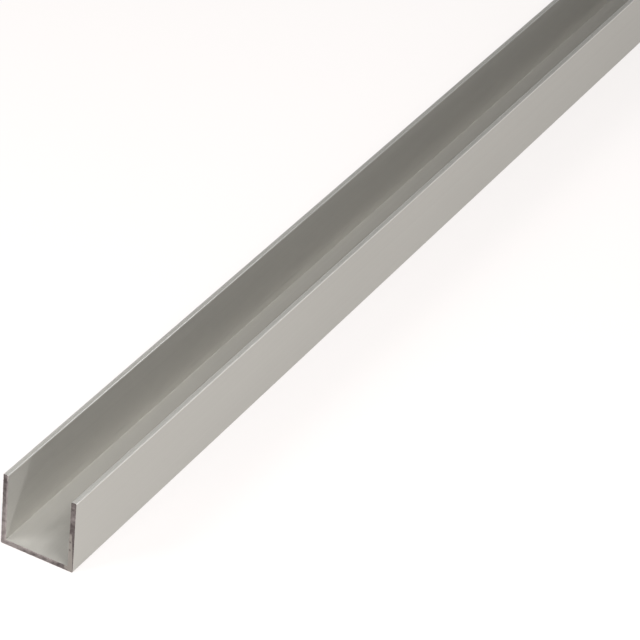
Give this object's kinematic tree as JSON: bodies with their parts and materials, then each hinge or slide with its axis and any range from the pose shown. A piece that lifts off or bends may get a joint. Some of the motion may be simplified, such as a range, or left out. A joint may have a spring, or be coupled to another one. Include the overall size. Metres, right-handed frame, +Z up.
{
  "type": "aluminium u channel profile",
  "caption": "Straight length of thin-walled square U channel, open along the top, with two equal flanges that hold or cap the edge of a board.",
  "frame": {"origin": "centre of the web's underside, halfway along the length, on the surface that the profile lies on", "axes": "+Y along the length, away from the sawn end that the picture shows near; +X across the section; +Z up, out of the channel's open side"},
  "size_m": [0.015, 1, 0.015],
  "materials": {
    "anodised_aluminium": "satin silver anodised, drawn lengthwise, with bare sawn ends"
  },
  "bodies": {
    "root": {"u_channel": "anodised_aluminium"}
  },
  "joints": []
}
